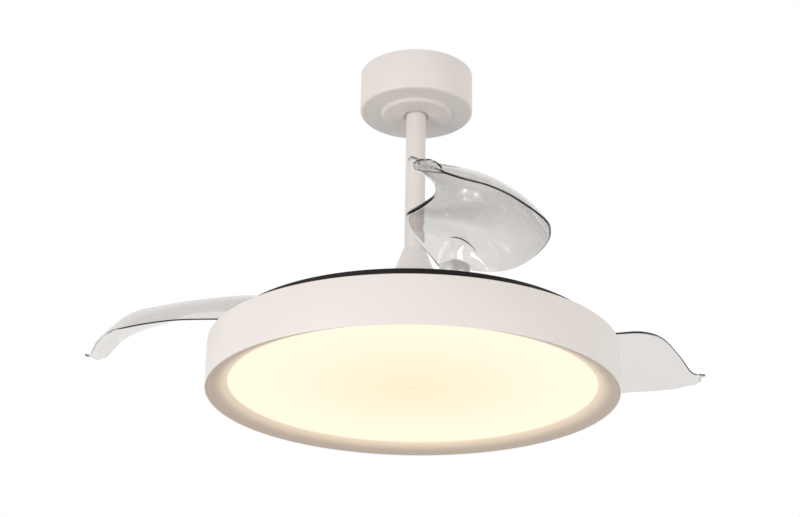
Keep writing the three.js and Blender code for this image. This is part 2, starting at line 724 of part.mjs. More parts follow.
// Stations along the blade, from behind the pivot to the tip, in hundredths of the blade's reach. u runs outward
// from the pivot, v across. Each edge is [v, height above the boss's foot]: the sweep edge is the full, low one
// that lies outward when folded, and the crest edge is the high one. crown lifts the middle of the section over
// the straight run between them. Up to the pivot the sheet lies within the boss.
const STATIONS = [
  { u: -6, crest: [-1.6, 0.6], sweep: [1.4, 0.6], crown: 3 },
  { u: -4.5, crest: [-4.2, 0.6], sweep: [4.6, 0.5], crown: 7.5 },
  { u: -2, crest: [-6.4, 1], sweep: [8.6, -1], crown: 10.5 },
  { u: -0.3, crest: [-9.3, 4], sweep: [12, -2], crown: 9 },
  { u: 0.6, crest: [-13.6, 8.6], sweep: [14, -2.6], crown: 4.5 },
  { u: 2.9, crest: [-18.2, 14.3], sweep: [17.2, -3.4], crown: 0 },
  { u: 7.1, crest: [-20, 17.1], sweep: [21.4, -4.2], crown: -2 },
  { u: 12.5, crest: [-19.4, 17.6], sweep: [25.6, -4.6], crown: -1.8 },
  { u: 24.9, crest: [-14.2, 15.6], sweep: [30.9, -5.5], crown: -2 },
  { u: 37.4, crest: [-8.9, 14.5], sweep: [34, -6.1], crown: -3.2 },
  { u: 49.8, crest: [-9.7, 14.2], sweep: [34.6, -6.9], crown: -4 },
  { u: 62.3, crest: [-17.9, 14.2], sweep: [31.7, -7], crown: -3.6 },
  { u: 73, crest: [-19.8, 12.9], sweep: [20, -3.3], crown: -3.4 },
  { u: 83.6, crest: [-16.3, 6.8], sweep: [9.9, -3.5], crown: -3 },
  { u: 90.5, crest: [-15.6, -0.4], sweep: [0.4, -4.2], crown: -1 },
  { u: 95.8, crest: [-18.2, -1.6], sweep: [-7.5, -3.7], crown: -0.3 },
  { u: 98.6, crest: [-16.8, -0.8], sweep: [-7.2, -3.4], crown: 0 },
  { u: 99.8, crest: [-13, -1.2], sweep: [-8.8, -2.8], crown: 0 },
];
const SECTION_POWER = 4.2;       // how quickly the section climbs from the sweep edge
const ROWS = 24;
const COLS = 5;

/** Points of the blade's middle surface, row by row from root to tip. */
function bladeSurface() {
  const scale = BLADE_REACH / 100;
  const run = (pick) => new THREE.CatmullRomCurve3(
    STATIONS.map((s) => new THREE.Vector3(s.u, ...pick(s)).multiplyScalar(scale)), false, 'catmullrom', 0.5);
  const [crest, sweep, crowns] = [run((s) => s.crest), run((s) => s.sweep), run((s) => [s.crown, 0])];
  const rows = [];
  for (let i = 0; i <= ROWS; i++) {
    const [from, to, crown] = [sweep, crest, crowns].map((curve) => curve.getPoint(i / ROWS));
    const row = [];
    for (let j = 0; j <= COLS; j++) {
      const t = 1 - Math.cos((Math.PI / 2) * (j / COLS));
      const climb = 1 - (1 - t) ** SECTION_POWER;
      const z = from.z + (to.z - from.z) * climb + crown.y * 4 * t * (1 - t);
      row.push(new THREE.Vector3(from.x, from.y + (to.y - from.y) * t, bossLow + z));
    }
    rows.push(row);
  }
  return rows;
}

/** The surface moved along its own normals, up for a positive distance. */
function offset(rows, distance) {
  const at = (i, j) => rows[Math.min(Math.max(i, 0), ROWS)][Math.min(Math.max(j, 0), COLS)];
  return rows.map((row, i) => row.map((p, j) => {
    const along = at(i + 1, j).clone().sub(at(i - 1, j));
    const across = at(i, j + 1).clone().sub(at(i, j - 1));
    const normal = across.cross(along).normalize();
    if (normal.z < 0) normal.negate();
    return p.clone().addScaledVector(normal, distance);
  }));
}

const spigotR = 7;
const spigotH = 6;

function bladeSolid() {
  const surface = bladeSurface();
  const upper = offset(surface, BLADE_T / 2);
  const lower = offset(surface, -BLADE_T / 2);
  const shell = skinned(upper, lower);
  const floor = surface.map((row) => row.map((p) => new THREE.Vector3(p.x, p.y, postLow)));
  const taper = revolve([[0, bossLow], [BOSS_R, bossLow], [BOSS_TOP_R, bossLow + BOSS_H], [0, bossLow + BOSS_H]]);
  const boss = common(taper, skinned(surface, floor));
  const socket = bar(spigotR + GAP, bossLow - 1, bossLow + spigotH + GAP);
  return carve(shell, [socket], [boss]);
}

function spindle() {
  return revolve([
    [2.2, leverLow],
    [SPINDLE_R, leverLow],
    [SPINDLE_R, flangeLow],
    [FLANGE_R, flangeLow],
    [FLANGE_R, flangeLow + FLANGE_T],
    [spigotR, flangeLow + FLANGE_T],
    [spigotR, bossLow + spigotH],
    [0, bossLow + spigotH],
    [0, leverLow + 22],
    [2.2, leverLow + 22],
  ]);
}

function stopLever(lag) {
  const outline = new THREE.Shape();
  const hub = 11;
  const half = LEVER_W / 2;
  const tip = LEVER_R + 2;
  const start = (Math.asin(half / hub) * 180) / Math.PI;
  outline.absarc(0, 0, hub, rad(start), rad(360 - start), false);
  outline.lineTo(tip, -half);
  outline.absarc(tip, 0, half, -Math.PI / 2, Math.PI / 2, false);
  outline.holes.push(circlePath(0, 0, SPINDLE_R + GAP));
  const peg = place(bar(PEG_R, leverLow, springLow(lag) + WIRE_R, 0, TINY), HOOK_R, 0);
  return carve(plate(outline, leverLow, leverTop, 6), [], [peg]).rotateZ(rad(leverHeading));
}

function spindleScrew() {
  return revolve([
    [0, leverLow - GAP - SCREW_HEAD_T],
    [8, leverLow - GAP - SCREW_HEAD_T],
    [9, leverLow - GAP - SCREW_HEAD_T + 1],
    [9, leverLow - GAP],
    [1.9, leverLow - GAP],
    [1.9, leverLow + 14],
    [0, leverLow + 14],
  ], TINY);
}

// ---------------------------------------------------------------- lamp

const openingR = LAMP_R - RING_W;
const trayR = LAMP_R - TRAY_INSET;
const ringOuterR = LAMP_R - SHEET - GAP;
const ringT = 1.3;
const diffuserR = openingR + 6;
const diffuserLow = RIM_RISE + ringT + GAP;
const boardLow = diffuserLow + LED_GAP;
const chassisLow = boardLow + BOARD_T + GAP;
const chassisR = diffuserR - 12;
const shaftHole = SHAFT_R + GAP;
const boardR = diffuserR - 24;
const boardScrewR = 0.62 * LAMP_R;

function drumShell() {
  const edge = 1.6;
  return revolve([
    [LAMP_R - SHEET, 0],
    [LAMP_R - 0.5, 0],
    [LAMP_R, 0.5],
    [LAMP_R, LAMP_H - edge],
    [LAMP_R - edge, LAMP_H],
    [shaftHole, LAMP_H],
    [shaftHole, LAMP_H - SHEET],
    [LAMP_R - SHEET, LAMP_H - SHEET],
  ], WIDE);
}

function trimRing() {
  return revolve([
    [ringOuterR, 0.2],
    [ringOuterR, RIM_RISE + ringT],
    [ringOuterR - ringT, RIM_RISE + ringT],
    [ringOuterR - ringT, 0.2 + ringT],
    [openingR, RIM_RISE + ringT],
    [openingR, RIM_RISE],
  ], WIDE);
}

function diffuser() {
  const inner = diffuserR - DIFFUSER_T;
  return revolve([
    [0, diffuserLow],
    [diffuserR - 3, diffuserLow],
    [diffuserR, diffuserLow + 3],
    [diffuserR, diffuserLow + DIFFUSER_H],
    [inner, diffuserLow + DIFFUSER_H],
    [inner, diffuserLow + DIFFUSER_T],
    [0, diffuserLow + DIFFUSER_T],
  ], WIDE);
}

function chassis() {
  const rise = LAMP_H - SHEET - GAP;
  return revolve([
    [shaftHole, chassisLow],
    [chassisR, chassisLow],
    [chassisR, rise],
    [chassisR - SHEET, rise],
    [chassisR - SHEET, chassisLow + SHEET],
    [shaftHole, chassisLow + SHEET],
  ], WIDE);
}

/** The LED board with its soldered chips and the heads of the screws that hold it to the chassis. */
function ledBoard() {
  const shape = new THREE.Shape().absarc(0, 0, boardR, 0, 2 * Math.PI, false);
  shape.holes.push(circlePath(0, 0, 30));
  const disc = plate(shape, boardLow, boardLow + BOARD_T, 18);
  const [chipW, chipH] = [5, 1.6];
  const chips = LED_RINGS.map(([share, count]) =>
    around(block(chipW, chipW, chipH + 0.4, share * LAMP_R, 0, boardLow - chipH / 2 + 0.2), evenly(count, 7)));
  const head = place(bar(3.4, boardLow - 2, boardLow + 0.4, 0, TINY), boardScrewR, 0);
  return carve(disc, [], [...chips, around(head, evenly(4, 45))]);
}

function upperTray() {
  const low = trayFloor;
  return revolve([
    [shaftHole, low],
    [trayR - 3, low],
    [trayR, low + 3],
    [trayR, low + TRAY_H],
    [trayR - SHEET, low + TRAY_H],
    [trayR - SHEET, low + 3.6],
    [trayR - 3.6, low + SHEET],
    [shaftHole, low + SHEET],
  ], WIDE);
}

const nutTop = LAMP_H - SHEET - GAP;
const washerT = 1.5;
const clampWasher = () => bar(16, nutTop - washerT, nutTop, shaftHole);
const clampNut = () => carve(
  bar(14, nutTop - washerT - GAP - 6, nutTop - washerT - GAP, 0, 6),
  [bar(shaftHole, nutTop - 20, nutTop)]);

/** A box with rounded upright edges that stands on the chassis. */
function controlCase(w, d, y0) {
  const shape = new THREE.Shape();
  const r = BOX_EDGE_R;
  const [x, y] = [w / 2 - r, d / 2 - r];
  shape.absarc(x, y, r, 0, Math.PI / 2, false).absarc(-x, y, r, Math.PI / 2, Math.PI, false);
  shape.absarc(-x, -y, r, Math.PI, 1.5 * Math.PI, false).absarc(x, -y, r, 1.5 * Math.PI, 2 * Math.PI, false);
  return plate(shape, chassisLow + SHEET + GAP, LAMP_H - SHEET - BOX_AIR, 3).translate(0, y0, 0);
}

// ---------------------------------------------------------------- assembly

const fan = new THREE.Group();
piece(fan, 'ceiling_bracket', bracket(), steel);
piece(fan, 'canopy', canopyShell(), whitePaint);
[0, 180].forEach((angle, k) => {
  piece(fan, `canopy_screw_${k + 1}`, canopyScrew().rotateZ(rad(angle)), steel);
});
piece(fan, 'terminal_block', terminalBlock(), nylon);
piece(fan, 'hanging_ball', hangingBall(), nylon);
piece(fan, 'hanger_pin', hangerPin(), steel);
piece(fan, 'downrod', downrod(), whitePaint);

const below = new THREE.Group();             // everything placed by its height above the lamp's rim
below.position.z = -DROP;
fan.add(below);

piece(below, 'coupling_yoke', couplingYoke(), castAlloy);
piece(below, 'coupling_bolt', couplingBolt(), steel);
piece(below, 'coupling_nut', couplingNut(), steel);
piece(below, 'shaft_set_screw', setScrew(), blackSteel);
piece(below, 'coupling_cover', couplingCover(), whitePaint);
piece(below, 'motor_shaft', motorShaft(), steel);
piece(below, 'lower_bearing', bearing(lowBearing), steel);
piece(below, 'upper_bearing', bearing(topBearing), steel);
piece(below, 'stator_core', statorCore(), castAlloy);
piece(below, 'stator_windings', statorWindings(), copper);
piece(below, 'clamp_washer', clampWasher(), steel);
piece(below, 'clamp_nut', clampNut(), steel);
piece(below, 'upper_tray', upperTray(), darkTray);
piece(below, 'drum_shell', drumShell(), whitePaint);
piece(below, 'lamp_chassis', chassis(), castAlloy);
piece(below, 'led_driver', controlCase(DRIVER_L, DRIVER_W, BOX_OFFSET), controlBox);
piece(below, 'fan_controller', controlCase(CONTROL_L, CONTROL_W, -BOX_OFFSET), controlBox);
piece(below, 'led_board', ledBoard(), ledWhite);
piece(below, 'trim_ring', trimRing(), whitePaint);
piece(below, 'diffuser', diffuser(), opal);

piece(below, 'rotor_base', rotorBase(), castAlloy);
piece(below, 'rotor_cover', rotorCover(), blackSteel);
piece(below, 'magnet_ring', magnetRing(), blackSteel);
piece(below, 'blade_carrier', bladeCarrier(), darkTray);
screwAngles.forEach((angle, k) => {
  piece(below, `carrier_screw_${k + 1}`, carrierScrew().rotateZ(rad(angle)), steel);
});

pivotAngles.forEach((angle, k) => {
  const n = k + 1;
  const pivot = new THREE.Group();
  pivot.position.set(...polar(PIVOT_R, angle));
  pivot.rotation.z = rad(angle);
  below.add(pivot);
  piece(pivot, `pivot_bush_${n}`, pivotBush(), nylon);
  piece(pivot, `return_spring_${n}`, returnSpring(BLADE_LAG[k]), steel);
  piece(pivot, `open_bumper_${n}`, bumper(openBumper), rubber);
  piece(pivot, `fold_bumper_${n}`, bumper(foldBumper), rubber);

  const swing = new THREE.Group();             // turns with the blade
  swing.rotation.z = -rad(BLADE_LAG[k]);
  pivot.add(swing);
  piece(swing, `blade_${n}`, bladeSolid(), clearPlastic);
  piece(swing, `blade_spindle_${n}`, spindle(), steel);
  piece(swing, `stop_lever_${n}`, stopLever(BLADE_LAG[k]), castAlloy);
  piece(swing, `spindle_screw_${n}`, spindleScrew(), steel);
});

export default fan;
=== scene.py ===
"""Looks of a retractable blade ceiling fan with a round light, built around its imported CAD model.

Metres, +Z up. The origin is on the ceiling, at the centre of the bracket. Heights with LAMP in front of them
are measured from the lower rim of the light, which hangs one drop below the ceiling.
"""
import json
import math

import bpy
from bpy.props import FloatProperty, FloatVectorProperty, IntProperty, PointerProperty
from mathutils import Matrix, Vector


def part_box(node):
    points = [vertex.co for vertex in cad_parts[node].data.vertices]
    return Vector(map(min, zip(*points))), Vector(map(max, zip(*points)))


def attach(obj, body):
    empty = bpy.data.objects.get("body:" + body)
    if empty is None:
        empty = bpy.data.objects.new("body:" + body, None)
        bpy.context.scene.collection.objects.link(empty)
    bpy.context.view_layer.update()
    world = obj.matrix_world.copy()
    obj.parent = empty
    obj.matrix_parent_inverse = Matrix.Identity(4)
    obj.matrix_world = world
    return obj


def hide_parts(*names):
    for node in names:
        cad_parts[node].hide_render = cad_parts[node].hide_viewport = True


bl_info = {
    "name": "Retractable Blade Ceiling Fan",
    "version": (1, 0, 0),
    "blender": (4, 5, 0),
    "location": "3D View > Sidebar > Fan",
    "description": "Models and finishes a ceiling fan with a drum light and three clear folding blades",
    "category": "Object",
}

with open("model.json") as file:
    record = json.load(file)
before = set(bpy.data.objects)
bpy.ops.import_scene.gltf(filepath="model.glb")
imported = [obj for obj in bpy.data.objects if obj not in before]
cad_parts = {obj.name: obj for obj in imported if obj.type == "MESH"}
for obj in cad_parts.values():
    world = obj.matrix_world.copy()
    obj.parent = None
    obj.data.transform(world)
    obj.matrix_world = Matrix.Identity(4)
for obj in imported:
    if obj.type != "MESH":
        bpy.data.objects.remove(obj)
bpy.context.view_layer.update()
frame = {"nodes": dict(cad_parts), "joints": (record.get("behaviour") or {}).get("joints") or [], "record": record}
RECORD = frame["record"]

MM = 0.001
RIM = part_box("drum_shell")[0].z          # height of the light's lower rim
MOUNT = "ceiling_mount"
LAMP = "hanging_lamp"
ROTOR = "rotor"
BLADES = 3


def srgb(code):
    """Linear RGBA of an sRGB hex colour such as #F2ECE8."""
    parts = [int(code[i:i + 2], 16) / 255 for i in (1, 3, 5)]
    return tuple(c / 12.92 if c <= 0.04045 else ((c + 0.055) / 1.055) ** 2.4 for c in parts) + (1.0,)


# ---------------------------------------------------------------- what a user would change

def length(name, description, default_mm):
    return FloatProperty(name=name, description=description, default=default_mm * MM, min=0, unit="LENGTH")


def colour(name, description, code):
    return FloatVectorProperty(name=name, description=description, default=srgb(code), size=4,
                               subtype="COLOR", min=0, max=1)


class FanSizes(bpy.types.PropertyGroup):
    """Sizes of the finish that the CAD model leaves open."""

    edge: length("Sheet edge", "Rounding of a pressed sheet's edges", 0.6)
    canopy_edge: length("Canopy edge", "Rounding of the canopy's lower corner", 4.0)
    blade_wall: length("Blade wall", "Thickness of the clear blades", 2.2)
    sides: IntProperty(name="Sides", description="Sides of a turned piece", default=192, min=24)
    floor_drop: FloatProperty(name="Room height", description="Ceiling to floor", default=2.4, unit="LENGTH")


class FanColours(bpy.types.PropertyGroup):
    """Colours of the finishes."""

    enamel: colour("Enamel", "Warm white enamel of the canopy, rod and light", "#F3ECE7")
    # The trim colour is painted shade: the white enamel darkened and warmed to the ring's shaded, lamp-lit look.
    trim: colour("Trim", "Greige enamel of the sloping ring round the diffuser", "#CBBBAA")
    tray: colour("Tray", "Black-brown enamel of the upper tray", "#1F1A18")
    acrylic: colour("Acrylic", "Tint of the clear blades", "#DFDCD9")
    glow: colour("Glow", "Light that leaves the diffuser", "#FFF4DA")
    glow_centre: colour("Glow centre", "Its warmer middle", "#FFE7C6")


# ---------------------------------------------------------------- materials

def add(tree, kind, inputs=None, **settings):
    """Adds a shader node with its settings; each input is given a value or the socket that feeds it."""
    node = tree.nodes.new("ShaderNode" + kind)
    for key, value in settings.items():
        setattr(node, key, value)
    for key, value in (inputs or {}).items():
        if isinstance(value, bpy.types.NodeSocket):
            tree.links.new(value, node.inputs[key])
        else:
            node.inputs[key].default_value = value
    return node


def shader(name):
    """A new material with an empty tree and its output node."""
    material = bpy.data.materials.new(name)
    material.use_nodes = True
    material.node_tree.nodes.clear()
    return material, material.node_tree, add(material.node_tree, "OutputMaterial")


def finished(name, tint, roughness, metallic=0.0, grain_mm=1.0, bump_mm=0.01, drift=0.04, ior=1.5, **extra):
    """An opaque finish: its colour and roughness drift a little, and a fine grain lifts the surface."""
    material, tree, output = shader(name)
    place = add(tree, "TexCoord").outputs["Object"]
    wide = add(tree, "TexNoise", {"Vector": place, "Scale": 9.0, "Detail": 3.0})
    fine = add(tree, "TexNoise", {"Vector": place, "Scale": 1 / (grain_mm * MM), "Detail": 2.0})
    dark = tuple(c * (1 - drift) for c in tint[:3]) + (1.0,)
    base = add(tree, "Mix", {"Factor": wide.outputs["Fac"], "A": dark, "B": tint}, data_type="RGBA")
    rough = add(tree, "MapRange", {"Value": wide.outputs["Fac"], "From Min": 0.3, "From Max": 0.7,
                                   "To Min": roughness * 0.9, "To Max": roughness * 1.1})
    bump = add(tree, "Bump", {"Height": fine.outputs["Fac"], "Distance": bump_mm * MM, "Strength": 1.0})
    surface = add(tree, "BsdfPrincipled", {"Base Color": base.outputs["Result"], "Metallic": metallic,
                                           "Roughness": rough.outputs["Result"], "IOR": ior,
                                           "Normal": bump.outputs["Normal"], **extra})
    tree.links.new(surface.outputs["BSDF"], output.inputs["Surface"])
    return material


def colours():
    return bpy.context.scene.fan_colours


def sizes():
    return bpy.context.scene.fan_sizes


def enamel():
    """Powder-coated steel: a soft satin skin with a faint orange peel about a millimetre across."""
    return finished("powder_coated_steel", tuple(colours().enamel), 0.42, grain_mm=1.4, bump_mm=0.012, drift=0.02)


def trim_painted_shade_and_glow():
    """The trim ring's finish: enamel darkened and warmed as painted shade, with a painted glow on its inner edge for
    the warm light that the diffuser spills there.
    """
    material = finished("painted_shade_and_glow_trim", tuple(colours().trim), 0.5, grain_mm=1.4, bump_mm=0.012, drift=0.02)
    tree = material.node_tree
    place = add(tree, "TexCoord").outputs["Object"]
    split = add(tree, "SeparateXYZ", {"Vector": place})
    flat = add(tree, "CombineXYZ", {"X": split.outputs["X"], "Y": split.outputs["Y"]})
    away = add(tree, "VectorMath", {0: flat.outputs["Vector"]}, operation="LENGTH")
    # Painted glow: emission on the ring, strongest at the diffuser's edge and fading outward, standing in for the
    # diffuser's light falling there.
    painted_glow = add(tree, "MapRange", {"Value": away.outputs["Value"], "From Min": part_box("diffuser")[1].x - 6 * MM,
                                   "From Max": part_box("diffuser")[1].x + 12 * MM, "To Min": 0.32, "To Max": 0.0},
                interpolation_type="SMOOTHSTEP")
    surface = next(node for node in tree.nodes if node.type == "BSDF_PRINCIPLED")
    surface.inputs["Emission Color"].default_value = tuple(colours().glow_centre)
    tree.links.new(painted_glow.outputs["Result"], surface.inputs["Emission Strength"])
    return material


def tray_enamel():
    """Black-brown stove enamel, smoother than the white one."""
    return finished("stove_enamel_black", tuple(colours().tray), 0.35, grain_mm=1.4, bump_mm=0.01, drift=0.1,
                    **{"Specular IOR Level": 0.2})


def acrylic():
    """Injection-moulded clear acrylic: polished, with a faint flow waviness and a grey tint in its depth."""
    material, tree, output = shader("clear_acrylic")
    place = add(tree, "TexCoord").outputs["Object"]
    flow = add(tree, "TexNoise", {"Vector": place, "Scale": 14.0, "Detail": 1.0})
    bump = add(tree, "Bump", {"Height": flow.outputs["Fac"], "Distance": 0.2 * MM, "Strength": 0.6})
    surface = add(tree, "BsdfPrincipled", {"Base Color": tuple(colours().acrylic), "Roughness": 0.03,
                                           "IOR": 1.49, "Transmission Weight": 1.0,
                                           "Normal": bump.outputs["Normal"]})
    tree.links.new(surface.outputs["BSDF"], output.inputs["Surface"])
    return material


def opal_glow():
    """Opal acrylic lit from behind: matt, warm, and a little deeper in colour at its middle."""
    material, tree, output = shader("opal_acrylic_lit")
    place = add(tree, "TexCoord").outputs["Object"]
    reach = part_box("diffuser")[1].x
    split = add(tree, "SeparateXYZ", {"Vector": place})
    flat = add(tree, "CombineXYZ", {"X": split.outputs["X"], "Y": split.outputs["Y"]})
    away = add(tree, "VectorMath", {0: flat.outputs["Vector"]}, operation="LENGTH")
    share = add(tree, "MapRange", {"Value": away.outputs["Value"], "From Max": reach},
                interpolation_type="SMOOTHSTEP")
    glow = add(tree, "Mix", {"Factor": share.outputs["Result"], "A": tuple(colours().glow_centre),
                             "B": tuple(colours().glow)}, data_type="RGBA")
    surface = add(tree, "BsdfPrincipled", {"Base Color": (0.02, 0.02, 0.02, 1), "Roughness": 0.6,
                                           "Emission Color": glow.outputs["Result"], "Emission Strength": 1.0})
    tree.links.new(surface.outputs["BSDF"], output.inputs["Surface"])
    return material


def plated_steel():
    """Zinc-plated steel, turned: bright, with a fine grain."""
    return finished("zinc_plated_steel", srgb("#C9C8C4"), 0.28, metallic=1.0, grain_mm=0.8, bump_mm=0.004)


def cast_alloy():
    """Die-cast aluminium: grey, with the slight pebble of the die."""
    return finished("die_cast_aluminium", srgb("#B4B5B7"), 0.5, metallic=1.0, grain_mm=1.6, bump_mm=0.03)


def black_steel():
    """Black oxide steel: dark satin metal."""
    return finished("black_oxide_steel", srgb("#3A3A3C"), 0.42, metallic=0.9, grain_mm=1.0, bump_mm=0.008)


def copper():
    """Enamelled copper wire: red-brown and glossy, with the ridge of each turn."""
    return finished("enamelled_copper", srgb("#B8693A"), 0.3, metallic=1.0, grain_mm=0.9, bump_mm=0.12)


def nylon():
    """Natural moulded nylon: creamy white and slightly waxy."""
    return finished("natural_nylon", srgb("#E6E0D2"), 0.48, grain_mm=1.2, bump_mm=0.01)


def rubber():
    """Moulded black rubber: matt, with a fine tooth."""
    return finished("moulded_rubber", srgb("#232323"), 0.85, grain_mm=0.8, bump_mm=0.03)


def board_mask():
    """White solder mask of the LED board: smooth, slightly glossy."""
    return finished("white_solder_mask", srgb("#F3F1E8"), 0.35, grain_mm=1.5, bump_mm=0.004)


def control_case():
    """Moulded ABS case of the driver and the controller: light grey spark texture."""
    return finished("grey_abs", srgb("#D3D3CF"), 0.55, grain_mm=0.8, bump_mm=0.03)


SLOT_FINISH = {
    "white_paint": enamel,
    "dark_paint": tray_enamel,
    "clear_plastic": acrylic,
    "opal_plastic": opal_glow,
    "bright_steel": plated_steel,
    "cast_alloy": cast_alloy,
    "black_steel": black_steel,
    "copper": copper,
    "nylon": nylon,
    "rubber": rubber,
    "board_white": board_mask,
    "control_box": control_case,
}
MADE = {}


def slot_material(slot):
    """The material of one of the record's slots, made once."""
    if slot not in MADE:
        MADE[slot] = SLOT_FINISH[slot]()
    return MADE[slot]


# ---------------------------------------------------------------- modelling helpers

def start(add_primitive, name, **settings):
    """Deselects all, adds a primitive and opens it in edit mode."""
    bpy.ops.object.select_all(action="DESELECT")
    add_primitive(**settings)
    piece = bpy.context.object
    piece.name = name
    bpy.ops.object.mode_set(mode="EDIT")
    return piece


def close_up(piece, bevel=0.0, segments=3, angle=30):
    """Leaves edit mode, rounds the sharp edges, applies the place and smooths the shading."""
    bpy.ops.object.mode_set(mode="OBJECT")
    if bevel:
        rounding = piece.modifiers.new("rounding", "BEVEL")
        rounding.width = bevel
        rounding.segments = segments
        rounding.limit_method = "ANGLE"
        rounding.angle_limit = math.radians(angle)
        bpy.ops.object.modifier_apply(modifier=rounding.name)
    bpy.ops.object.transform_apply(location=True, rotation=True, scale=True)
    bpy.ops.object.shade_smooth_by_angle(angle=math.radians(35))
    return piece


def dress(piece, body, slot, *nodes):
    """Gives a piece its body, its finish and the CAD nodes that it stands for."""
    piece.data.materials.clear()
    piece.data.materials.append(slot_material(slot))
    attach(piece, body)
    if nodes:
        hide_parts(*nodes)
    return piece


def turned(name, profile, centre=(0, 0), lift=RIM, sides=None, bevel=0.0, segments=3, closed=True):
    """A turned piece: a ring drawn out from point to point of its profile, in (radius, height) millimetres.

    A closed profile comes back to its first ring; an open one ends in a face at each end.
    """
    radius, height = profile[0]
    piece = start(bpy.ops.mesh.primitive_circle_add, name, vertices=sides or sizes().sides, radius=radius * MM,
                  location=(centre[0], centre[1], lift + height * MM))
    if not closed:
        bpy.ops.mesh.edge_face_add()
    for next_radius, next_height in profile[1:]:
        bpy.ops.mesh.extrude_region_move(TRANSFORM_OT_translate={"value": (0, 0, (next_height - height) * MM)})
        scale = next_radius / radius
        if scale != 1:
            bpy.ops.transform.resize(value=(scale, scale, 1), center_override=(centre[0], centre[1], 0))
        radius, height = next_radius, next_height
    if closed:
        bpy.ops.mesh.select_all(action="DESELECT")
        bpy.ops.mesh.select_non_manifold()
        bpy.ops.mesh.bridge_edge_loops()
    bpy.ops.mesh.select_all(action="SELECT")
    bpy.ops.mesh.remove_doubles(threshold=1e-6)
    bpy.ops.mesh.normals_make_consistent(inside=False)
    return close_up(piece, bevel, segments)


def arc(radius, height, corner, start_deg, end_deg, steps=6):
    """Points of a rounded corner in a profile, about (radius, height)."""
    angles = [math.radians(start_deg + (end_deg - start_deg) * i / steps) for i in range(steps + 1)]
    return [(radius + corner * math.cos(a), height + corner * math.sin(a)) for a in angles]


def prism(name, outline, low, high, bevel=0.0, lift=RIM):
    """A flat shape drawn up from one height to another; its outline is in millimetres."""
    piece = start(bpy.ops.mesh.primitive_circle_add, name, vertices=len(outline), radius=1, fill_type="NGON")
    bpy.ops.object.mode_set(mode="OBJECT")
    for vertex, (x, y) in zip(piece.data.vertices, outline):
        vertex.co = (x * MM, y * MM, lift + low * MM)
    bpy.ops.object.mode_set(mode="EDIT")
    bpy.ops.mesh.select_all(action="SELECT")
    bpy.ops.mesh.extrude_region_move(TRANSFORM_OT_translate={"value": (0, 0, (high - low) * MM)})
    bpy.ops.mesh.select_all(action="SELECT")
    bpy.ops.mesh.normals_make_consistent(inside=False)
    return close_up(piece, bevel)


def round_bar(name, radius, begin, end, sides=48):
    """A plain round bar from one point to another, in metres; its radius is in millimetres."""
    begin, end = Vector(begin), Vector(end)
    turn = (end - begin).to_track_quat("Z", "Y").to_euler()
    piece = start(bpy.ops.mesh.primitive_cylinder_add, name, vertices=sides, radius=radius * MM,
                  depth=(end - begin).length, location=(begin + end) / 2, rotation=turn)
    return close_up(piece)


def combine(piece, others, operation="UNION"):
    """Joins the other pieces to a piece, or cuts them out of it, and removes them."""
    for other in others:
        step = piece.modifiers.new(operation.lower(), "BOOLEAN")
        step.operation = operation
        step.solver = "EXACT"
        step.object = other
        bpy.context.view_layer.objects.active = piece
        bpy.ops.object.modifier_apply(modifier=step.name)
        bpy.data.objects.remove(other)
    return piece


def soften(piece, width, segments=2, angle=30):
    """Rounds a finished piece's sharp edges and smooths its shading."""
    bpy.ops.object.select_all(action="DESELECT")
    piece.select_set(True)
    bpy.context.view_layer.objects.active = piece
    return close_up(piece, width, segments, angle)


def moved(piece, matrix):
    """Moves a piece's mesh by a matrix, its object staying at the origin."""
    piece.data.transform(matrix)
    return piece


def turn_about(outline, degrees, x=0.0, y=0.0):
    """An outline turned about the origin and then moved."""
    c, s = math.cos(math.radians(degrees)), math.sin(math.radians(degrees))
    return [(x + c * px - s * py, y + s * px + c * py) for px, py in outline]


def on_circle(radius, degrees):
    """A point on a circle about the axis, in the units of its radius."""
    return radius * math.cos(math.radians(degrees)), radius * math.sin(math.radians(degrees))


class FAN_OT_canopy(bpy.types.Operator):
    """Turn the ceiling canopy, with its raised plateau and the hole for the rod"""

    bl_idname = "fan.canopy"
    bl_label = "Canopy"

    def execute(self, context):
        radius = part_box("canopy")[1].x / MM
        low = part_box("canopy")[0].z / MM
        plateau, step, hole, wall = 44, 4, 16.5, 1.5
        corner = sizes().canopy_edge / MM
        flat = low + step
        outer = [(radius, 0)] + arc(radius - corner, flat + corner, corner, 0, -90)
        outer += [(plateau + 2, flat), (plateau - 1.4, low), (hole, low)]
        inner = [(hole, low + wall), (plateau - 2.6, low + wall), (plateau + 1, flat + wall)]
        inner += [(radius - corner, flat + wall), (radius - wall, flat + corner), (radius - wall, 0)]
        piece = turned("canopy_cup", outer + inner, lift=0, bevel=0.5 * MM, segments=2)
        self.screws(piece, radius, wall)
        dress(piece, MOUNT, "white_paint", "canopy")
        return {"FINISHED"}

    def screws(self, canopy, radius, wall):
        """Sinks the two countersunk screws that hold the canopy to its bracket."""
        depth = (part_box("canopy_screw_1")[0].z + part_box("canopy_screw_1")[1].z) / 2
        for index, side in ((1, 1), (2, -1)):
            at = [Vector((side * r * MM, 0, depth)) for r in (radius - wall - 1, radius + 1)]
            combine(canopy, [round_bar("sink", 3.7, *at)], "DIFFERENCE")
            shank = round_bar(f"canopy_screw_shank_{index}", 1.75, (side * 0.062, 0, depth),
                              (side * (radius - 1.2) * MM, 0, depth))
            head = round_bar("screw_head", 3.3, (side * (radius - 1.3) * MM, 0, depth),
                             (side * (radius - 0.3) * MM, 0, depth))
            slots = [round_bar("cross", 0.5, (side * (radius - 0.3) * MM, -2.2 * a * MM, depth - 2.2 * b * MM),
                               (side * (radius - 0.3) * MM, 2.2 * a * MM, depth + 2.2 * b * MM), 12)
                     for a, b in ((1, 0), (0, 1))]
            screw = combine(combine(shank, [head]), slots, "DIFFERENCE")
            dress(screw, MOUNT, "bright_steel", f"canopy_screw_{index}")


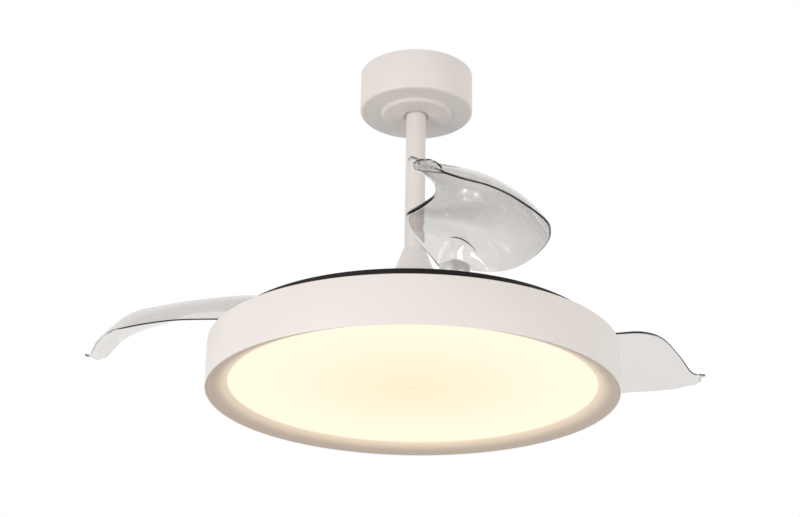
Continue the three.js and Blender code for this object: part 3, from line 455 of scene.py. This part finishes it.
class FAN_OT_downrod(bpy.types.Operator):
    """Turn the downrod and the cone that covers its coupling"""

    bl_idname = "fan.downrod"
    bl_label = "Downrod and Cone"

    def execute(self, context):
        low, high = (corner.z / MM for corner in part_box("downrod"))
        radius, wall = 12.7, 1.6
        tube = [(radius, low), (radius, high), (radius - wall, high), (radius - wall, low)]
        dress(turned("rod_tube", tube, lift=0, sides=64, bevel=0.3 * MM, segments=2), LAMP, "white_paint", "downrod")
        foot, top = ((corner.z - RIM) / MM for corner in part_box("coupling_cover"))
        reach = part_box("coupling_cover")[1].x / MM
        skin = 2.2
        outer = [(reach, foot), (reach - 10, foot + 20), (23, 169), (14.2, top - 0.8), (13, top)]
        inner = [(13, top - 3), (23 - skin, 167), (reach - 10 - skin, foot + 19), (reach - skin, foot)]
        cone = turned("coupling_cone", outer + inner, sides=96, bevel=0.5 * MM, segments=2)
        dress(cone, LAMP, "white_paint", "coupling_cover")
        return {"FINISHED"}


class FAN_OT_light(bpy.types.Operator):
    """Turn the drum, the sloping trim ring and the opal diffuser of the light"""

    bl_idname = "fan.light"
    bl_label = "Drum Light"

    def execute(self, context):
        low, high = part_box("drum_shell")
        radius, top = high.x / MM, (high.z - low.z) / MM
        wall, shaft = 1.5, 8.3
        shell = [(radius - wall, 0), (radius - 0.4, 0), (radius, 0.5)] + arc(radius - 1.6, top - 1.6, 1.6, 0, 90)
        shell += [(shaft, top), (shaft, top - wall), (radius - wall, top - wall)]
        dress(turned("drum_skin", shell, bevel=0.3 * MM, segments=2), LAMP, "white_paint", "drum_shell")
        opening, rise, sheet = 223.2, 10.1, 1.3
        outer = radius - wall - 0.3
        ring = [(outer, 0.2), (outer, rise + sheet), (outer - sheet, rise + sheet), (outer - sheet, 0.2 + sheet)]
        ring += [(opening, rise + sheet), (opening, rise)]
        trim = dress(turned("trim_cone", ring, bevel=0.25 * MM, segments=2), LAMP, "white_paint", "trim_ring")
        # The ring's material is painted shade, with a painted glow next to the diffuser.
        trim.data.materials[0] = trim_painted_shade_and_glow()
        low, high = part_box("diffuser")
        reach, floor, lip = high.x / MM, (low.z - RIM) / MM, (high.z - RIM) / MM
        skin = 2
        dish = [(reach - skin, lip), (reach, lip)] + arc(reach - 3, floor + 3, 3, 0, -90)
        dish += [(120, floor), (4, floor)]
        inside = [(4, floor + skin), (reach - 3, floor + skin), (reach - skin, floor + 3)]
        dress(turned("opal_dish", dish + inside), LAMP, "opal_plastic", "diffuser")
        return {"FINISHED"}


class FAN_OT_tray(bpy.types.Operator):
    """Turn the dark upper tray over the light"""

    bl_idname = "fan.tray"
    bl_label = "Upper Tray"

    def execute(self, context):
        low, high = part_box("upper_tray")
        radius, floor, top = high.x / MM, (low.z - RIM) / MM, (high.z - RIM) / MM
        wall, corner, shaft = 1.5, 3, 8.3
        dish = [(shaft, floor)] + arc(radius - corner, floor + corner, corner, -90, 0)
        dish += [(radius, top), (radius - wall, top), (radius - wall, floor + corner)]
        dish += [(radius - corner, floor + wall), (shaft, floor + wall)]
        dress(turned("tray_dish", dish, bevel=0.4 * MM, segments=2), LAMP, "dark_paint", "upper_tray")
        return {"FINISHED"}


# Stations of a blade from behind its pivot to its tip, in hundredths of its reach: distance out from the pivot,
# the crest edge across and up, the sweep edge across and up, and the lift of the middle of the section. Heights
# are above the foot of the boss. Up to the pivot the sheet lies within the boss.
STATIONS = (
    (-6, -1.6, 0.6, 1.4, 0.6, 3),
    (-4.5, -4.2, 0.6, 4.6, 0.5, 7.5),
    (-2, -6.4, 1, 8.6, -1, 10.5),
    (-0.3, -9.3, 4, 12, -2, 9),
    (0.6, -13.6, 8.6, 14, -2.6, 4.5),
    (2.9, -18.2, 14.3, 17.2, -3.4, 0),
    (7.1, -20, 17.1, 21.4, -4.2, -2),
    (12.5, -19.4, 17.6, 25.6, -4.6, -1.8),
    (24.9, -14.2, 15.6, 30.9, -5.5, -2),
    (37.4, -8.9, 14.5, 34, -6.1, -3.2),
    (49.8, -9.7, 14.2, 34.6, -6.9, -4),
    (62.3, -17.9, 14.2, 31.7, -7, -3.6),
    (73, -18.9, 12.5, 20, -3.3, -3.4),
    (83.6, -16, 6.6, 9.9, -3.5, -3),
    (90.5, -15.6, -0.8, 0.4, -4.2, -1),
    (95, -17, -1.8, -6.8, -3.8, -0.3),
    (97.2, -16.7, -1.5, -7.3, -3.4, 0),
    (98.3, -15.2, -1.1, -8.3, -2.8, 0),
    (98.7, -13, -1, -10, -2.2, 0),
)
SECTION_POWER = 4.2      # how quickly the section climbs from the sweep edge
BLADE_REACH = 281        # millimetres from the pivot to the tip
ROWS = 120
COLS = 32
BOSS_R = 17.5
BOSS_TOP_R = 14
BOSS_H = 60
SPIGOT_H = 6
FOOT = (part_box("blade_spindle_1")[1].z - RIM) / MM - SPIGOT_H    # height of the foot of a blade's boss


def smooth_run(values, t):
    """Catmull-Rom value at t from 0 to 1 through evenly spaced values."""
    count = len(values) - 1
    place = min(max(t, 0), 1) * count
    i = min(int(place), count - 1)
    f = place - i
    p0 = values[i - 1] if i else 2 * values[0] - values[1]
    p3 = values[i + 2] if i + 2 <= count else 2 * values[count] - values[count - 1]
    p1, p2 = values[i], values[i + 1]
    a, b = (p2 - p0) / 2, (p3 - p1) / 2
    return (2 * f ** 3 - 3 * f ** 2 + 1) * p1 + (f ** 3 - 2 * f ** 2 + f) * a \
        + (3 * f ** 2 - 2 * f ** 3) * p2 + (f ** 3 - f ** 2) * b


def station(row):
    """A blade's section at a share of the way along it, in millimetres."""
    return [smooth_run(column, row) * BLADE_REACH / 100 for column in zip(*STATIONS)]


def section_height(section, t):
    """Height of a section's middle surface at t, from its sweep edge at 0 to its crest edge at 1."""
    _, _, crest_z, _, sweep_z, crown = section
    climb = 1 - (1 - t) ** SECTION_POWER
    return FOOT + sweep_z + (crest_z - sweep_z) * climb + crown * 4 * t * (1 - t)


def blade_point(row, col):
    """A point of the blade's middle surface in metres; row and col run from 0 to 1."""
    section = station(row)
    out, crest_v, _, sweep_v, _, _ = section
    t = 1 - math.cos(math.pi / 2 * col)
    return Vector((out, sweep_v + (crest_v - sweep_v) * t, section_height(section, t))) * MM


def blade_height(out, across):
    """Height of the blade's middle surface over a point of its plan, all in millimetres."""
    near, far = 0.0, 1.0
    for _ in range(24):
        row = (near + far) / 2
        near, far = (row, far) if station(row)[0] < out else (near, row)
    section = station(near)
    t = (section[3] - across) / (section[3] - section[1])
    return section_height(section, min(max(t, 0), 1))


def blade_joint(index):
    return next(j for j in frame["joints"] if j["name"] == f"blade_swing_{index}")


def pivot_place(index):
    """A blade's pivot in millimetres, and the direction outward from it in degrees."""
    x, y, _ = blade_joint(index)["pos_m"]
    return x / MM, y / MM, math.degrees(math.atan2(y, x))


def lever_heading(index):
    """Heading of a blade's stop lever; a blade at rest lags behind radial by its joint's upper limit."""
    return pivot_place(index)[2] + LEVER_HEADING - max(blade_joint(index)["range_deg"])


def pivot_of(index):
    """Matrix from a blade's own frame, out from its pivot, to the row frame at rest."""
    x, y, angle = pivot_place(index)
    heading = math.radians(angle - max(blade_joint(index)["range_deg"]))
    return Matrix.Translation((x * MM, y * MM, RIM)) @ Matrix.Rotation(heading, 4, "Z")


class FAN_OT_blades(bpy.types.Operator):
    """Model the clear curved blades, each with the boss that it turns on"""

    bl_idname = "fan.blades"
    bl_label = "Clear Blades"

    def execute(self, context):
        for index in range(1, BLADES + 1):
            blade = combine(self.sheet(index), [self.boss()])
            moved(blade, pivot_of(index))
            dress(soften(blade, 0), f"blade_assembly_{index}", "clear_plastic", f"blade_{index}")
        return {"FINISHED"}

    def sheet(self, index):
        """The curved sheet, in the blade's own frame."""
        piece = start(bpy.ops.mesh.primitive_grid_add, f"clear_blade_{index}", x_subdivisions=ROWS,
                      y_subdivisions=COLS, size=2)
        bpy.ops.object.mode_set(mode="OBJECT")
        for vertex in piece.data.vertices:
            vertex.co = blade_point((vertex.co.x + 1) / 2, (vertex.co.y + 1) / 2)
        wall = piece.modifiers.new("wall", "SOLIDIFY")
        wall.thickness = sizes().blade_wall
        wall.offset = 0
        bpy.ops.object.modifier_apply(modifier=wall.name)
        bpy.ops.object.mode_set(mode="EDIT")
        bpy.ops.mesh.select_all(action="SELECT")
        bpy.ops.mesh.normals_make_consistent(inside=False)
        return close_up(piece, bevel=0.32 * sizes().blade_wall, segments=2, angle=50)

    def column(self, name, radius, top_radius, centre=(0, 0), drop=0.0):
        """A tapered column on the boss's foot; its top follows the sheet's middle surface, less a drop."""
        rings = (1.0, 0.9, 0.75, 0.6, 0.45, 0.3, 0.15)
        profile = [(radius * 0.1, FOOT), (radius, FOOT)] + [(radius * share, FOOT + 1) for share in rings]
        piece = turned(name, profile, centre=(centre[0] * MM, centre[1] * MM), lift=0, sides=72, closed=False)
        for vertex in piece.data.vertices:
            if vertex.co.z < (FOOT + 0.5) * MM:
                continue
            x, y = vertex.co.x / MM, vertex.co.y / MM
            height = blade_height(x, y) - drop
            narrow = 1 - (1 - top_radius / radius) * (height - FOOT) / BOSS_H
            vertex.co = Vector((centre[0] + (x - centre[0]) * narrow, centre[1] + (y - centre[1]) * narrow,
                                height)) * MM
        return piece

    def boss(self):
        """The tapered tube under the sheet, with the three screw posts inside it."""
        wall = sizes().blade_wall / MM
        tube = self.column("boss", BOSS_R, BOSS_TOP_R)
        hollow = self.column("hollow", BOSS_R - wall, BOSS_TOP_R - wall, drop=wall / 2)
        hollow.data.transform(Matrix.Translation((0, 0, -0.2 * MM)))
        combine(tube, [hollow], "DIFFERENCE")
        posts = [self.column("post", 2.6, 2.3, centre=on_circle(11, angle)) for angle in (40, 160, 280)]
        return combine(tube, posts)


class FAN_OT_motor(bpy.types.Operator):
    """Turn the two shells of the motor's outer rotor and cut the cooling slots"""

    bl_idname = "fan.motor"
    bl_label = "Motor"

    def execute(self, context):
        low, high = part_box("rotor_cover")
        reach, foot, top = high.x / MM, (low.z - RIM) / MM, (high.z - RIM) / MM
        wall, hub, seat, eye, depth = 3, 22, 17.3, 12, 11
        shell = [(reach - wall, foot), (reach, foot)] + arc(reach - 6, top - 9.5, 6, 0, 72)
        shell += [(hub + 4, top), (eye, top), (eye, top - 0.7), (seat, top - 0.7), (seat, top - depth)]
        shell += [(hub, top - depth), (hub, top - wall), (reach - wall, top - 7)]
        cover = turned("rotor_shell", shell)
        slot = [on_circle(48, a) for a in range(-8, 9, 2)] + [on_circle(33, a) for a in range(8, -9, -2)]
        cuts = [prism("slot", turn_about(slot, 60 * k), top - 14, top + 1) for k in range(6)]
        soften(combine(cover, cuts, "DIFFERENCE"), 0.5 * MM)
        dress(cover, ROTOR, "black_steel", "rotor_cover")
        foot = (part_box("rotor_base")[0].z - RIM) / MM
        disc = [(seat, foot), (hub, foot), (hub, foot + 4), (reach, foot + 4), (reach, foot + 8), (hub, foot + 8)]
        disc += [(hub, foot + 12), (eye, foot + 12), (eye, foot + 10), (seat, foot + 10)]
        dress(turned("rotor_plate", disc, bevel=0.5 * MM, segments=2), ROTOR, "cast_alloy", "rotor_base")
        return {"FINISHED"}


POST_R = 15
HOOK_R = 22              # pivot to the pegs that the spring's ends bear on
HOOK_TURN = 23.13        # degrees from the end of the coil to the peg
LEVER_HEADING = 242.5    # of a radial blade's stop lever, from outward
PEG_HEADING = 215        # of the carrier's peg, from outward
COIL_R = 17.5
WIRE_R = 0.9


class FAN_OT_carrier(bpy.types.Operator):
    """Model the blade carrier: a windowed plate with three ears, and the bearing post in each ear"""

    bl_idname = "fan.carrier"
    bl_label = "Blade Carrier"

    def execute(self, context):
        reach, ear, spread = 180, 22, 9.4
        top = (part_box("rotor_base")[0].z - RIM) / MM + 3.7
        low = top - 4
        outline, windows, ribs, posts, bores = [], [], [], [], []
        for index in range(1, BLADES + 1):
            x, y, angle = pivot_place(index)
            outline += arc(x, y, ear, angle - 62, angle + 62, 24)
            outline += arc(0, 0, reach, angle + spread, angle + 120 - spread, 60)
            window = arc(0, 0, reach - 22, angle + 35, angle + 85, 30)
            window += arc(0, 0, 82, angle + 80, angle + 40, 24)
            windows.append(prism("window", window, low - 1, top + 1))
            rib = turn_about([(-99, -1.5), (-37, -1.5), (-37, 1.5), (-99, 1.5)], angle, x, y)
            ribs.append(prism("rib", rib, top - 10.5, top - 1))
            peg = [Vector((*at, 0)) * MM for at in turn_about([on_circle(HOOK_R, PEG_HEADING)], angle, x, y)][0]
            ribs.append(round_bar("peg", 1.5, peg + Vector((0, 0, RIM + 77.5 * MM)),
                                  peg + Vector((0, 0, RIM + (top - 1) * MM)), 24))
            bores.append(round_bar("bore", POST_R, (x * MM, y * MM, RIM + 60 * MM), (x * MM, y * MM, RIM + 110 * MM)))
            posts.append(self.post(index, x, y, low, top))
        plate = prism("carrier_plate", outline, low, top)
        hub = round_bar("hub", 22.3, (0, 0, RIM), (0, 0, RIM + 110 * MM), 96)
        combine(plate, ribs)
        soften(combine(plate, windows + [hub] + bores, "DIFFERENCE"), 0.4 * MM)
        dress(plate, ROTOR, "dark_paint", "blade_carrier")
        for post in posts:
            dress(post, ROTOR, "cast_alloy", "blade_carrier")
        return {"FINISHED"}

    def post(self, index, x, y, low, top):
        """The bearing post, turned, with a small foot where it joins the plate."""
        bore = 8.4
        profile = [(bore, low - 14), (POST_R, low - 14), (POST_R, top + 0.4)]
        profile += [(POST_R - 0.2, top + 1), (POST_R, top + 1.6), (POST_R, top + 11), (bore, top + 11)]
        return turned(f"bearing_post_{index}", profile, centre=(x * MM, y * MM), sides=96, bevel=0.4 * MM, segments=2)


class FAN_OT_pivots(bpy.types.Operator):
    """Model what each blade turns on: bush, spindle, stop lever, bumpers, return spring and screw"""

    bl_idname = "fan.pivots"
    bl_label = "Blade Pivots"

    def execute(self, context):
        for index in range(1, BLADES + 1):
            self.turned_parts(index)
            self.lever(index)
            self.spring(index)
        return {"FINISHED"}

    def turned_parts(self, index):
        x, y, angle = pivot_place(index)
        centre = (x * MM, y * MM)
        blade = f"blade_assembly_{index}"
        bush = [(6.2, 70), (8.2, 70), (8.2, 99.3), (13, 99.3), (13, 99.7), (6.2, 99.7)]
        dress(turned(f"plain_bush_{index}", bush, centre, sides=64), ROTOR, "nylon", f"pivot_bush_{index}")
        flange, skirt = FOOT - 0.3, 13
        spindle = [(6, 66.7), (6, flange - 3), (BOSS_R - 1.3, flange - 3), (BOSS_R - 1.3, flange - skirt)]
        spindle += [(BOSS_R, flange - skirt), (BOSS_R, flange), (7, flange)]
        spindle += [(7, FOOT + SPIGOT_H - 0.6), (6.4, FOOT + SPIGOT_H)]
        piece = turned(f"spindle_{index}", spindle, centre, sides=96, bevel=0.5 * MM, segments=2, closed=False)
        dress(piece, blade, "bright_steel", f"blade_spindle_{index}")
        screw = [(8, 64.2), (9, 65.0), (9, 66.4), (1.9, 66.4), (1.9, 66.6)]
        head = turned(f"spindle_screw_head_{index}", screw, centre, sides=48, bevel=0.2 * MM, segments=2, closed=False)
        key = round_bar("key", 3.4, (*centre, RIM + 63 * MM), (*centre, RIM + 65.4 * MM), 6)
        dress(combine(head, [key], "DIFFERENCE"), blade, "bright_steel", f"spindle_screw_{index}")
        for name, heading in (("open", LEVER_HEADING + 18.3), ("fold", LEVER_HEADING - 143.3)):
            at = turn_about([on_circle(28, heading)], angle, x, y)[0]
            pad = [(3, 66.2), (4, 67.2), (4, 83.7)]
            bumper = turned(f"{name}_pad_{index}", pad, (at[0] * MM, at[1] * MM), sides=40, bevel=0.3 * MM,
                            segments=2, closed=False)
            dress(bumper, ROTOR, "rubber", f"{name}_bumper_{index}")

    def lever(self, index):
        hub, tip, half = 11, 30, 4.5
        start_deg = math.degrees(math.asin(half / hub))
        outline = arc(0, 0, hub, start_deg, 360 - start_deg, 36) + arc(tip, 0, half, -90, 90, 16)
        heading, at = lever_heading(index), pivot_place(index)
        lever = prism("lever", turn_about(outline, heading, at[0], at[1]), 66.7, 69.7)
        x, y = turn_about([(HOOK_R, 0)], heading, at[0], at[1])[0]
        peg = round_bar("peg", 1.5, (x * MM, y * MM, RIM + 68 * MM), (x * MM, y * MM, RIM + 76.3 * MM), 24)
        bore = round_bar("bore", 6.3, (at[0] * MM, at[1] * MM, RIM + 60 * MM), (at[0] * MM, at[1] * MM, RIM + 80 * MM))
        lever = combine(combine(lever, [peg]), [bore], "DIFFERENCE")
        lever.name = f"lever_arm_{index}"
        dress(soften(lever, 0.3 * MM), f"blade_assembly_{index}", "cast_alloy", f"stop_lever_{index}")

    def spring(self, index):
        """Winds the return spring between the lever's peg and the carrier's."""
        x, y, angle = pivot_place(index)
        begin = lever_heading(index) + HOOK_TURN
        end = angle + PEG_HEADING - HOOK_TURN + 1080
        while end - begin > 1080:
            end -= 360
        low, high = ((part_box(f"return_spring_{index}")[k].z - RIM) / MM for k in (0, 1))
        low, high, steps, leg = low + WIRE_R, high - WIRE_R, 120, 8
        coil = [(*on_circle(COIL_R, begin + (end - begin) * i / steps), low + (high - low) * i / steps)
                for i in range(steps + 1)]
        first = on_circle(leg, begin - 90)
        last = on_circle(leg, end + 90)
        run = [(coil[0][0] + first[0], coil[0][1] + first[1], low)] + coil
        run += [(coil[-1][0] + last[0], coil[-1][1] + last[1], high)]
        data = bpy.data.curves.new(f"return_coil_{index}", "CURVE")
        data.dimensions = "3D"
        data.bevel_depth = WIRE_R * MM
        data.bevel_resolution = 4
        data.use_fill_caps = True
        line = data.splines.new("POLY")
        line.points.add(len(run) - 1)
        for point, (px, py, pz) in zip(line.points, run):
            point.co = ((x + px) * MM, (y + py) * MM, RIM + pz * MM, 1)
        piece = bpy.data.objects.new(f"return_coil_{index}", data)
        bpy.context.collection.objects.link(piece)
        bpy.ops.object.select_all(action="DESELECT")
        piece.select_set(True)
        bpy.context.view_layer.objects.active = piece
        bpy.ops.object.convert(target="MESH")
        bpy.ops.object.shade_smooth()
        dress(bpy.context.object, ROTOR, "bright_steel", f"return_spring_{index}")


class FAN_OT_hardware(bpy.types.Operator):
    """Give every CAD piece that stays in view its finish"""

    bl_idname = "fan.hardware"
    bl_label = "Hardware Finishes"

    def execute(self, context):
        for part in RECORD["subparts"]:
            node = frame["nodes"][part["node"]]
            node.data.materials.clear()
            node.data.materials.append(slot_material(part["material_slot"]))
        return {"FINISHED"}


# The camera of the photograph, found by fitting the light, the rod and the canopy to it.
CAMERA_DISTANCE = 1.920      # in front of the fan's axis
CAMERA_BELOW = 0.632         # below the light's lower rim
CAMERA_YAW = -0.531          # degrees, to the right
CAMERA_PITCH = 22.966        # degrees, up
CAMERA_ROLL = 0.983          # degrees
CAMERA_LENS = 75.15          # millimetres, on a 36 mm sensor


class FAN_OT_stage(bpy.types.Operator):
    """Set up the floor, the white surround, the soft lights and the photograph's camera"""

    bl_idname = "fan.stage"
    bl_label = "Stage"

    def execute(self, context):
        self.floor()
        self.surround()
        self.lights()
        self.camera()
        context.scene.view_settings.view_transform = "Standard"
        return {"FINISHED"}

    def seen_white(self, tree, lit):
        """Mixes what lights the object with plain white for the rays that show the background."""
        path = add(tree, "LightPath").outputs
        seen = add(tree, "Math", {0: path["Is Camera Ray"], 1: path["Is Glossy Ray"]}, operation="MAXIMUM")
        seen = add(tree, "Math", {0: seen.outputs["Value"], 1: path["Is Transmission Ray"]}, operation="MAXIMUM")
        white = add(tree, "Background", {"Color": (1, 1, 1, 1), "Strength": 1.0})
        return add(tree, "MixShader", {0: seen.outputs["Value"], 1: lit, 2: white.outputs["Background"]})

    def floor(self):
        bpy.ops.object.select_all(action="DESELECT")
        bpy.ops.mesh.primitive_plane_add(size=12, location=(0, 0, -sizes().floor_drop))
        floor = bpy.context.object
        floor.name = "floor"
        material, tree, output = shader("pale_floor")
        pale = add(tree, "BsdfDiffuse", {"Color": srgb("#EDEDED")})
        glow = add(tree, "Emission", {"Color": (1, 1, 1, 1), "Strength": 0.08})
        both = add(tree, "AddShader", {0: pale.outputs["BSDF"], 1: glow.outputs["Emission"]})
        tree.links.new(both.outputs["Shader"], output.inputs["Surface"])
        floor.data.materials.append(material)
        floor.visible_camera = floor.visible_glossy = floor.visible_transmission = False

    def surround(self):
        world = bpy.data.worlds.new("white_surround")
        bpy.context.scene.world = world
        world.use_nodes = True
        tree = world.node_tree
        tree.nodes.clear()
        light = add(tree, "Background", {"Color": (1, 0.985, 0.97, 1), "Strength": 0.53})
        mixed = self.seen_white(tree, light.outputs["Background"])
        output = add(tree, "OutputWorld")
        tree.links.new(mixed.outputs["Shader"], output.inputs["Surface"])

    def lights(self):
        for name, place, size, power in (
            ("key_softbox", (-2.3, -2.1, -1.0), 1.4, 37),
            ("fill_softbox", (2.4, -2.0, -0.9), 1.4, 22),
        ):
            bpy.ops.object.light_add(type="AREA", location=place)
            lamp = bpy.context.object
            lamp.name = name
            lamp.data.shape = "SQUARE"
            lamp.data.size = size
            lamp.data.energy = power
            aim = Vector((0, 0, RIM)) - Vector(place)
            lamp.rotation_euler = aim.to_track_quat("-Z", "Y").to_euler()

    def camera(self):
        bpy.ops.object.camera_add(location=(0, -CAMERA_DISTANCE, RIM - CAMERA_BELOW))
        camera = bpy.context.object
        camera.name = "photo_camera"
        turn = Matrix.Rotation(math.radians(-CAMERA_YAW), 4, "Z")
        tilt = Matrix.Rotation(math.radians(90 + CAMERA_PITCH), 4, "X")
        roll = Matrix.Rotation(math.radians(CAMERA_ROLL), 4, "Z")
        camera.rotation_euler = (turn @ tilt @ roll).to_euler()
        camera.data.lens = CAMERA_LENS
        camera.data.sensor_width = 36
        camera.data.clip_start = 0.05
        bpy.context.scene.camera = camera


STEPS = (FAN_OT_stage, FAN_OT_hardware, FAN_OT_canopy, FAN_OT_downrod, FAN_OT_light, FAN_OT_tray, FAN_OT_motor,
         FAN_OT_carrier, FAN_OT_pivots, FAN_OT_blades)


class FAN_PT_panel(bpy.types.Panel):
    """Lists the steps that build the fan"""

    bl_idname = "FAN_PT_panel"
    bl_label = "Ceiling Fan"
    bl_space_type = "VIEW_3D"
    bl_region_type = "UI"
    bl_category = "Fan"

    def draw(self, context):
        for step in STEPS:
            self.layout.operator(step.bl_idname)
        for group in (context.scene.fan_sizes, context.scene.fan_colours):
            for name in group.bl_rna.properties.keys():
                if name not in ("rna_type", "name"):
                    self.layout.prop(group, name)


CLASSES = (FanSizes, FanColours, *STEPS, FAN_PT_panel)


def register():
    for cls in CLASSES:
        bpy.utils.register_class(cls)
    bpy.types.Scene.fan_sizes = PointerProperty(type=FanSizes)
    bpy.types.Scene.fan_colours = PointerProperty(type=FanColours)


def unregister():
    del bpy.types.Scene.fan_sizes
    del bpy.types.Scene.fan_colours
    for cls in reversed(CLASSES):
        bpy.utils.unregister_class(cls)


def main():
    register()
    for step in STEPS:
        group, name = step.bl_idname.split(".")
        getattr(getattr(bpy.ops, group), name)()


if __name__ == "__main__":
    main()
